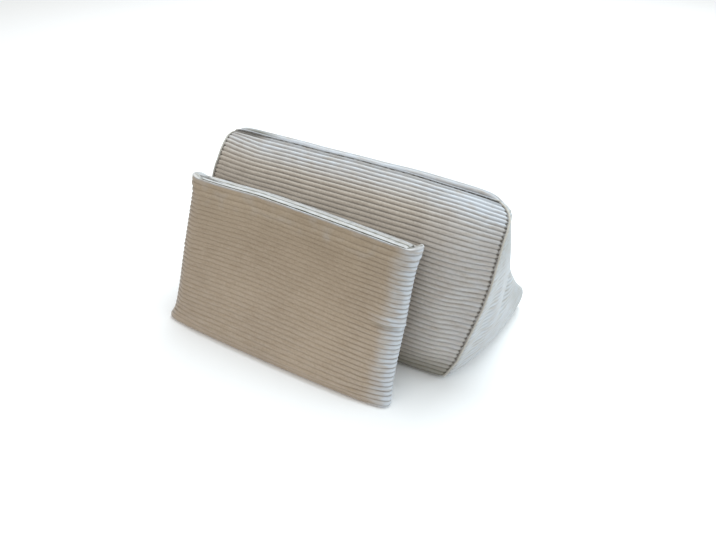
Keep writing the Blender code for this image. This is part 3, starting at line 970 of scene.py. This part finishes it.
def ribbed_cord(name, pile, shade, ground_and_shade, contrast, cloth):
    """Wide cord: soft pile on the ribs, darker ground and painted shade between them, nap that turns from
    patch to patch, painted light, painted shade and a painted seam shadow.
    """
    recipe = Recipe(name)
    spot = recipe.add("ShaderNodeUVMap", {"uv_map": "cloth"}, {})
    room = recipe.add("ShaderNodeTexCoord", {}, {}, 3)
    rib = recipe.part(spot, 1)
    tone = recipe.kept("tone", 1)
    # The tone's parts: strength of the groove shade, amount of painted light, amount of painted shade.
    clear, light, painted_shade = (recipe.part(tone, index) for index in range(3))
    edge = recipe.kept("edge", 2)
    wander = recipe.patches(recipe.stretched(spot, (0.5, 0.7, 1.0)), 1.0)
    place = rib + (wander - 0.5) * 0.16
    crest = abs((place * math.pi).maths("SINE"))
    in_groove = (1.0 - crest) ** 2.2
    tufts = recipe.patches(recipe.stretched(spot, (1.5, 2.6, 1.0)), 1.2, 4.0, 0.75)
    streaks = recipe.patches(recipe.stretched(spot, (0.30, 1.3, 1.0)), 1.0, 2.0, 0.6)
    threads = recipe.patches(recipe.stretched(spot, (2.2, 12.0, 1.0)), 1.0, 2.0, 0.6)
    nap = recipe.patches(room, 11.0, 3.0, 0.6)
    cloud = recipe.patches(room, 4.0, 2.0, 0.5)
    mix = 0.5 + (nap - 0.5) * 0.9 + (cloud - 0.5) * 1.0 + (tufts - 0.5) * 2.6 + (streaks - 0.5) * 0.9
    colour = recipe.blend(mix, shade, pile)
    # Painted light: the pile turns toward the lit colour, in streaks.
    colour = recipe.blend(light * (0.80 + 1.9 * (streaks - 0.5)), colour, cloth.bright)
    # Darker ground cloth and painted shade down in the grooves, patchy along the ribs.
    fade = recipe.patches(recipe.stretched(spot, (0.12, 0.35, 1.0)), 1.0, 2.0, 0.6)
    colour = recipe.blend(in_groove * clear * contrast * (0.35 + 1.3 * fade), colour, ground_and_shade)
    # Painted shadow down in the seam of the face, deepest in the grooves.
    near = (1.0 - edge * (1.0 / 0.0060)).maths("MAXIMUM", 0.0)
    seam_shadow = near ** 0.8 * 2.4 * (1.0 - crest) + near ** 2.0 * 1.3
    colour = recipe.blend(seam_shadow.maths("MINIMUM", 0.85), colour, cloth.seam)
    # Painted shade in tucks, creases, slots, near the floor and over the sides.
    colour = recipe.blend(painted_shade * 0.8, colour, cloth.painted_shade)
    return recipe.finish({
        "Base Color": colour,
        "Roughness": 0.86 + 0.12 * tufts,
        "Normal": recipe.relief(tufts * 0.8 + threads * 0.4 + crest * 0.4, cloth),
        "Sheen Weight": cloth.sheen,
        "Sheen Roughness": 0.55,
        "Sheen Tint": (0.93, 0.96, 1.0, 1.0),
        "Specular IOR Level": 0.15,
    })


def turned_cloth(name, light, dark, cloth):
    """Plain turned cloth of the seam edge: fine slanting twill, a stitch every few millimetres and painted
    light on its top run.
    """
    recipe = Recipe(name)
    spot = recipe.add("ShaderNodeUVMap", {"uv_map": "cloth"}, {})
    along = recipe.part(spot, 0)
    twill = abs(((along * 900.0 + recipe.part(spot, 1) * 9.0) * math.pi).maths("SINE"))
    stitch = abs((along * (math.pi / 0.0032)).maths("SINE")) ** 0.5
    grain = recipe.patches(recipe.stretched(spot, (400.0, 3.0, 1.0)), 1.0, 2.0, 0.6)
    # Painted light on the top run of the edge.
    top = recipe.part(recipe.kept("tone", 1), 1)
    tone = twill * 0.25 + stitch * 0.35 + grain * 0.6 - 0.1
    return recipe.finish({
        "Base Color": recipe.blend(top * 0.9, recipe.blend(tone, dark, light), cloth.bright),
        "Roughness": 0.8 + 0.15 * grain,
        "Normal": recipe.relief(twill * 0.4 + stitch * 0.6, cloth),
        "Sheen Weight": cloth.sheen,
        "Specular IOR Level": 0.2,
    })


def pale_floor(name, colour):
    """Plain matt studio floor."""
    recipe = Recipe(name)
    return recipe.finish({"Base Color": colour, "Roughness": 0.9, "Specular IOR Level": 0.1})


def finished(name, panels, material, nodes):
    """Turn sewn panels into a piece that stands for its CAD nodes."""
    mesh = bpy.data.meshes.new(name)
    panels.work.to_mesh(mesh)
    panels.work.free()
    mesh.materials.append(material)
    mesh.polygons.foreach_set("use_smooth", [True] * len(mesh.polygons))
    piece = bpy.data.objects.new(name, mesh)
    bpy.context.scene.collection.objects.link(piece)
    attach(piece, "root")
    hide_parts(*nodes)
    return piece


def colour_setting(name, description, red, green, blue):
    """A colour of the cloth or the studio."""
    return FloatVectorProperty(
        name=name, description=description, subtype="COLOR", size=4, min=0.0, max=1.0,
        default=(red, green, blue, 1.0))


def length_setting(name, description, default):
    """A length in metres."""
    return FloatProperty(name=name, description=description, default=default, unit="LENGTH")


def angle_setting(name, description, degrees):
    """An angle, given in degrees."""
    return FloatProperty(
        name=name, description=description, subtype="ANGLE", unit="ROTATION", default=math.radians(degrees))


def count_setting(name, description, default, least):
    """A whole number with the least that makes sense."""
    return IntProperty(name=name, description=description, default=default, min=least)


class ClothSettings(bpy.types.PropertyGroup):
    """Colours and pile of the ribbed cloth, with the colours of its painted light and painted shade."""

    pile: colour_setting("Pile", "Light side of the wedge's pile", 0.55, 0.49, 0.42)
    shade: colour_setting("Pile shade", "Dark side of the wedge's pile", 0.40, 0.345, 0.285)
    # Darker ground cloth between the ribs, with painted shade down in the grooves.
    ground_and_shade: colour_setting("Ground", "Cloth between the wedge's ribs", 0.17, 0.155, 0.14)
    pad_pile: colour_setting("Pad pile", "Light side of the pad's pile", 0.50, 0.395, 0.285)
    pad_shade: colour_setting("Pad pile shade", "Dark side of the pad's pile", 0.385, 0.295, 0.205)
    # Darker ground cloth between the pad's ribs, with painted shade down in the grooves.
    pad_ground_and_shade: colour_setting("Pad ground", "Cloth between the pad's ribs", 0.22, 0.17, 0.12)
    # Painted light: the pile turns toward this colour where light falls on it.
    bright: colour_setting("Bright pile", "Pile where it leans to the light", 0.575, 0.605, 0.645)
    seam: colour_setting("Seam shadow", "Cloth down in the seam of the face", 0.12, 0.105, 0.085)
    # Painted shade: the cloth's colour where shade falls in tucks, creases, slots and near the floor.
    painted_shade: colour_setting("Tuck shadow", "Cloth down in tucks and slots", 0.17, 0.165, 0.125)
    edge_light: colour_setting("Seam edge", "Light side of the seam edge", 0.62, 0.60, 0.55)
    edge_dark: colour_setting("Seam edge shade", "Dark side of the seam edge", 0.43, 0.40, 0.35)
    sheen: FloatProperty(name="Sheen", description="Soft shine of the pile", default=0.25, min=0.0, max=1.0)
    relief: FloatProperty(
        name="Relief", description="Strength of the fine relief", default=0.5, min=0.0, max=1.0)
    relief_depth: FloatProperty(
        name="Relief depth", description="Depth of the fine relief", default=0.0006, min=0.0, unit="LENGTH")


class WedgeSettings(bpy.types.PropertyGroup):
    """Ribs and density of the wedge."""

    ribs: count_setting("Ribs", "Ribs from the floor to the top seam", 43, 8)
    rows_per_rib: count_setting("Rows per rib", "Rows of faces on each rib", 6, 4)
    columns: count_setting("Columns", "Columns across the front and back", 140, 20)
    steps: count_setting("Steps", "Columns across each side panel", 28, 8)
    pitch: length_setting("Pitch", "From rib to rib", 0.0086)
    rib_height: length_setting("Rib height", "Crest over middle", 0.0013)
    side_height: length_setting("Side rib height", "Crest over middle on the sides", 0.0006)
    edge_width: length_setting("Seam edge", "Width of the edge", 0.0036)
    edge_gap: length_setting("Seam gap", "Middle of the edge off the seam", 0.0017)
    edge_step: length_setting("Seam step", "Cloth from station to station", 0.0014)


class PadSettings(bpy.types.PropertyGroup):
    """Ribs and density of the pad."""

    ribs: count_setting("Ribs", "Ribs from the floor to the top", 34, 8)
    rows_per_rib: count_setting("Rows per rib", "Rows of faces on each rib", 8, 4)
    rib_height: length_setting("Rib height", "Crest over middle", 0.0007)
    strip_ribs: count_setting("Strip ribs", "Ribs of the top strip", 4, 1)
    strip_rows_per_rib: count_setting("Strip rows per rib", "Rows of faces on each rib of the strip", 10, 4)
    strip_columns: count_setting("Strip columns", "Columns along the strip", 160, 20)
    strip_height: length_setting("Strip rib height", "Crest over middle", 0.0008)
    clear: length_setting("Clearance", "Least gap to the wedge", 0.0005)


class FillingSettings(bpy.types.PropertyGroup):
    """How the covers are blown up."""

    shrink: length_setting("Shrink", "Cover smaller than its filling", 0.003)
    cloth_step: length_setting("Cloth step", "Size of the cloth's faces", 0.006)
    pressure: FloatProperty(name="Pressure", description="Pressure inside the cover", default=4.0)
    stiffness: FloatProperty(name="Stiffness", description="Stiffness of the cover", default=15.0)
    frames: count_setting("Frames", "Steps of the simulation", 20, 1)
    most: length_setting("Most", "Furthest that a point may move", 0.007)


class StudioSettings(bpy.types.PropertyGroup):
    """Camera, floor and lights."""

    eye: FloatVectorProperty(
        name="Camera", description="Place of the camera", subtype="TRANSLATION", unit="LENGTH",
        default=(0.5566, -0.9094, 0.8582))
    azimuth: angle_setting("Azimuth", "Turn round the part", 29.7119)
    pitch: angle_setting("Pitch", "Angle over the horizon", 35.4628)
    lens: FloatProperty(name="Lens", description="Focal length in millimetres", default=32.66)
    floor: colour_setting("Floor", "Colour of the floor", 0.97, 0.97, 0.97)
    sky: colour_setting("Sky", "Colour of the light all round", 1.0, 0.985, 0.965)
    sky_power: FloatProperty(name="Sky power", description="Strength of the light all round", default=0.69)
    key_power: FloatProperty(
        name="Key power", description="Watts of the light from the right", default=24.0)
    top_power: FloatProperty(
        name="Top power", description="Watts of the light from behind", default=74.0)


class CUSHION_OT_wedge(bpy.types.Operator):
    """Build the ribbed wedge"""

    bl_idname = "cushion.wedge"
    bl_label = "Wedge"

    def execute(self, context):
        """Bend, fill and rib the wedge's panels."""
        scene = context.scene
        settings = scene.cushion_wedge
        cloth = scene.cushion_cloth
        size = (settings.ribs, settings.rib_height, settings.side_height, settings.pitch)
        rows, steps = WEDGE_FILLING_GRID
        plain = Wedge(rows)
        swell = filling(
            "wedge_filling", lambda: wedge_panels(plain, rows, steps, *size), scene.cushion_filling)
        wedge = Wedge(settings.ribs * settings.rows_per_rib)
        panels = wedge_panels(wedge, settings.columns, settings.steps, *size)
        seam = plain.seam()
        for vert in panels.work.verts:
            point = vert.co.copy()
            held = ramp(point.z, 0.0, FLOOR_FREE)
            lift = rib_lift(vert[panels.rib], vert[panels.edge], vert[panels.height])
            move = vert.normal * lift + waves(point, *WEDGE_WAVES)
            if swell is not None:
                loose = SEAM_HOLD + (1.0 - SEAM_HOLD) * ramp(seam.find(point)[2], 0.0, SEAM_REACH)
                moved = swell.at(point) * loose
                outward = vert.normal * moved.dot(vert.normal)
                move += outward * SWELL_OUT + (moved - outward) * SWELL_ALONG
            vert.co = point + move * held
            vert.co.z = max(vert.co.z, 0.0)
        material = ribbed_cord("wedge cord", cloth.pile, cloth.shade, cloth.ground_and_shade, WEDGE_CONTRAST, cloth)
        piece = finished("wedge_cushion", panels, material, ["wedge_body"])
        return {"FINISHED"}


class CUSHION_OT_seam_edge(bpy.types.Operator):
    """Build the turned edge round the wedge's face"""

    bl_idname = "cushion.seam_edge"
    bl_label = "Seam edge"

    def execute(self, context):
        """Lay a thin flattened tube along the seam of the face."""
        scene = context.scene
        settings = scene.cushion_wedge
        cloth = scene.cushion_cloth
        rows = settings.ribs * settings.rows_per_rib
        wedge = Wedge(rows)
        side_rows = range(settings.rows_per_rib * 2, rows)
        path = [(wedge.face(1.0, row), Vector((1.0, -EDGE_LEAN, 0.0)), 0.0) for row in side_rows]
        for column in range(EDGE_COLUMNS, -EDGE_COLUMNS - 1, -1):
            across = column / EDGE_COLUMNS
            turn = ramp(abs(across), EDGE_CORNER, 1.0)
            way = Vector((0.0, -0.9, 1.0)).lerp(Vector((math.copysign(1.0, across), -EDGE_LEAN, 0.3)), turn)
            path.append((wedge.face(across, rows), way, 1.0 - turn))
        path += [(wedge.face(-1.0, row), Vector((-1.0, -EDGE_LEAN, 0.0)), 0.0) for row in reversed(side_rows)]
        swell = FILLINGS.get("wedge_filling")
        line = []
        for point, out, top in path:
            move = waves(point, *WEDGE_WAVES)
            if swell is not None:
                move += swell.at(point) * SEAM_HOLD * SWELL_ALONG
            out = out.normalized()
            place = point + move * ramp(point.z, 0.0, FLOOR_FREE) + out * settings.edge_gap
            line.append((place, out, top))
        last = len(line) - 1
        half = settings.edge_width / 2.0

        def tube(column, row):
            point, out, top = line[column]
            along = (line[min(column + 1, last)][0] - line[max(column - 1, 0)][0]).normalized()
            across = along.cross(out).normalized()
            turn = row / EDGE_SIDES * math.tau
            wide = half * (1.0 - EDGE_NARROW * top)
            place = point + across.cross(along) * math.cos(turn) * wide
            place += across * math.sin(turn) * wide * EDGE_FLAT
            # Painted light on the top run of the edge, none on its sides.
            return place, row / EDGE_SIDES, column * settings.edge_step, NO_SEAM, 0.0, (0.0, top, 0.0)

        panels = Panels()
        panels.add(last, EDGE_SIDES, tube)
        panels.weld()
        panels.close()
        material = turned_cloth("seam edge cloth", cloth.edge_light, cloth.edge_dark, cloth)
        finished("seam_edge", panels, material, ["wedge_face_edge"])
        return {"FINISHED"}


class CUSHION_OT_pad(bpy.types.Operator):
    """Build the slim pad"""

    bl_idname = "cushion.pad"
    bl_label = "Pad"

    def execute(self, context):
        """Bend, fill and rib the pad, then press it clear of the wedge."""
        scene = context.scene
        settings = scene.cushion_pad
        cloth = scene.cushion_cloth
        pitch = scene.cushion_wedge.pitch
        size = (settings.ribs, settings.rib_height, pitch)
        rows, steps = PAD_FILLING_GRID
        swell = filling("pad_filling", lambda: pad_panels(Pad(rows), steps, *size), scene.cushion_filling)
        panels = pad_panels(Pad(settings.ribs * settings.rows_per_rib), STATION_STEPS, *size)
        top = settings.ribs
        for vert in panels.work.verts:
            point = vert.co.copy()
            held = ramp(point.z, 0.0, FLOOR_FREE)
            loose = ramp(top - vert[panels.rib], *PAD_STEADY)
            lift = vert[panels.height] * (2.0 * rib_crest(vert[panels.rib]) - 1.0)
            if vert.normal.y < 0.0:
                across = (point.x - PAD_MIDDLE - PAD_TOP_SHIFT / 2.0) / PAD_HALF_WIDTH[0][1]
                lift += pad_creases(across, vert[panels.rib] / top)
            move = vert.normal * lift + waves(point, *PAD_WAVES) * loose
            if swell is not None:
                move += swell.at(point) * PAD_SWELL * loose
            vert.co = point + move * held
            vert.co.z = max(vert.co.z, 0.0)
        wedge = bpy.data.objects["wedge_cushion"].data
        wall = BVHTree.FromPolygons(
            [vert.co for vert in wedge.vertices], [tuple(face.vertices) for face in wedge.polygons])
        for vert in panels.work.verts:
            place, normal, _, _ = wall.find_nearest(vert.co, WALL_REACH)
            if place is not None:
                gap = (vert.co - place).dot(normal)
                if gap < settings.clear:
                    vert.co += normal * (settings.clear - gap)
        material = ribbed_cord(
            "pad cord", cloth.pad_pile, cloth.pad_shade, cloth.pad_ground_and_shade, PAD_CONTRAST, cloth)
        piece = finished("slim_pad", panels, material, ["pad_body"])
        return {"FINISHED"}


class CUSHION_OT_top_strip(bpy.types.Operator):
    """Build the ribbed strip in the top of the pad"""

    bl_idname = "cushion.top_strip"
    bl_label = "Top strip"

    def execute(self, context):
        """Lay a ribbed strip inside the pad's lip."""
        scene = context.scene
        settings = scene.cushion_pad
        cloth = scene.cushion_cloth
        pad = Pad(1)
        shift = Vector((PAD_MIDDLE + PAD_TOP_SHIFT, 0.0, 0.0))
        front = pad.front[-1] + shift
        rear = pad.rear[-1] + shift
        back_way = (rear - front).normalized()
        up = Vector((0.0, -back_way.z, back_way.y))
        half = PAD_HALF_WIDTH[-1][1] * STRIP_END
        pitch = scene.cushion_wedge.pitch
        columns = settings.strip_columns
        rows = settings.strip_ribs * settings.strip_rows_per_rib

        def strip(column, row):
            x = closer_at_ends(column / columns * 2.0 - 1.0)
            share = row / rows
            rib = share * settings.strip_ribs
            ends = ramp(abs(x), 1.0, 1.0 - STRIP_ROUND)
            deep = 0.45 + 1.9 * ridge(share, 0.5, 0.12)
            lift = settings.strip_height * ((rib_crest(rib) - 1.0) * 2.0 * deep + 0.5)
            inset = STRIP_END_MARGIN * ramp(abs(x) * STRIP_END, *STRIP_END_FROM)
            near = front + back_way * (STRIP_SLOT + inset)
            far = rear - back_way * (STRIP_MARGIN + inset)
            base = near.lerp(far, share) + Vector((half * x, 0.0, STRIP_GAP - PAD_LIP_DEPTH))
            base += pad_top_shift(x * STRIP_END, 1.0, 0.0)
            point = base + up * (STRIP_THICK * (0.6 + 0.4 * ends) + lift * ends)
            # Painted shade lines at the front edge of the strip and along its middle groove, broken up and
            # speckled; painted light on the strip.
            line = max(ramp(share, 0.09, 0.0), ridge(share, 0.5, 0.10))
            line *= 0.85 + 0.6 * broken(point, LINE_SCALE)
            line += 0.6 * max(broken(point, SPECK_SCALE), 0.0)
            return point, rib, point.x / pitch, NO_SEAM, 0.0, (deep * 0.45, STRIP_LIGHT, line)

        panels = Panels()
        panels.add(columns, rows, strip)
        work = panels.work
        bmesh.ops.recalc_face_normals(work, faces=work.faces)
        cloth_parts = list(work.faces) + list(work.edges) + list(work.verts)
        bmesh.ops.solidify(work, geom=cloth_parts, thickness=STRIP_CLOTH)
        bmesh.ops.recalc_face_normals(work, faces=work.faces)
        material = ribbed_cord("strip cord", cloth.pile, cloth.shade, cloth.ground_and_shade, STRIP_CONTRAST, cloth)
        finished("top_strip", panels, material, ["pad_top_strip"])
        return {"FINISHED"}


class CUSHION_OT_studio(bpy.types.Operator):
    """Set up the floor, lights and camera"""

    bl_idname = "cushion.studio"
    bl_label = "Studio"

    def execute(self, context):
        """Lay a pale floor and place soft lights and the camera."""
        scene = context.scene
        settings = scene.cushion_studio
        work = bmesh.new()
        bmesh.ops.create_grid(work, x_segments=2, y_segments=2, size=FLOOR_HALF)
        bmesh.ops.translate(work, verts=work.verts, vec=(0.0, 0.0, -FLOOR_DROP))
        mesh = bpy.data.meshes.new("studio_floor")
        work.to_mesh(mesh)
        work.free()
        mesh.materials.append(pale_floor("floor paint", settings.floor))
        floor = bpy.data.objects.new("studio_floor", mesh)
        scene.collection.objects.link(floor)
        world = bpy.data.worlds.new("studio light")
        world.use_nodes = True
        light = world.node_tree.nodes["Background"]
        light.inputs["Color"].default_value = settings.sky
        light.inputs["Strength"].default_value = settings.sky_power
        scene.world = world
        self.lamp("key", (2.3, 0.7, 1.5), 2.2, settings.key_power, (0.70, 0.90, 1.0))
        self.lamp("top", (-0.2, 1.5, 2.3), 2.4, settings.top_power, (0.86, 0.95, 1.0))
        camera = bpy.data.cameras.new("camera")
        camera.lens = settings.lens
        camera.sensor_width = 36.0
        camera.clip_start = 0.01
        holder = bpy.data.objects.new("camera", camera)
        scene.collection.objects.link(holder)
        turn = settings.azimuth
        tilt = settings.pitch
        back = Vector((math.sin(turn) * math.cos(tilt), -math.cos(turn) * math.cos(tilt), math.sin(tilt)))
        right = Vector((math.cos(turn), math.sin(turn), 0.0))
        place = Matrix((right, back.cross(right), back)).transposed().to_4x4()
        place.translation = Vector(settings.eye)
        holder.matrix_world = place
        scene.camera = holder
        scene.view_settings.view_transform = "Standard"
        return {"FINISHED"}

    def lamp(self, name, place, size, power, colour):
        """Hang one soft light that faces the cushion."""
        light = bpy.data.lights.new(name, "AREA")
        light.shape = "DISK"
        light.size = size
        light.energy = power
        light.color = colour
        holder = bpy.data.objects.new(name, light)
        holder.location = place
        holder.rotation_euler = (LIGHT_AIM - Vector(place)).to_track_quat("-Z", "Y").to_euler()
        bpy.context.scene.collection.objects.link(holder)


class CUSHION_PT_panel(bpy.types.Panel):
    """Lists the pieces of the cushion."""

    bl_idname = "CUSHION_PT_panel"
    bl_label = "Ribbed wedge cushion"
    bl_space_type = "VIEW_3D"
    bl_region_type = "UI"
    bl_category = "Cushion"

    def draw(self, context):
        """One button for each piece."""
        for operator in OPERATORS:
            self.layout.operator(operator.bl_idname)


OPERATORS = (
    CUSHION_OT_wedge, CUSHION_OT_seam_edge, CUSHION_OT_pad, CUSHION_OT_top_strip, CUSHION_OT_studio,
)
SETTINGS = {
    "cushion_cloth": ClothSettings,
    "cushion_wedge": WedgeSettings,
    "cushion_pad": PadSettings,
    "cushion_filling": FillingSettings,
    "cushion_studio": StudioSettings,
}


def register():
    """Add the settings, operators and panel."""
    for name, group in SETTINGS.items():
        bpy.utils.register_class(group)
        setattr(bpy.types.Scene, name, PointerProperty(type=group))
    for item in (*OPERATORS, CUSHION_PT_panel):
        bpy.utils.register_class(item)


def unregister():
    """Take the settings, operators and panel away."""
    for item in (CUSHION_PT_panel, *reversed(OPERATORS)):
        bpy.utils.unregister_class(item)
    for name, group in SETTINGS.items():
        delattr(bpy.types.Scene, name)
        bpy.utils.unregister_class(group)


def main():
    """Build every piece in order."""
    # Without a seed of its own, Blender shifts noise vectors by the time of day.
    noise.seed_set(NOISE_SEED)
    register()
    bpy.ops.cushion.wedge()
    bpy.ops.cushion.seam_edge()
    bpy.ops.cushion.pad()
    bpy.ops.cushion.top_strip()
    bpy.ops.cushion.studio()


if __name__ == "__main__":
    main()
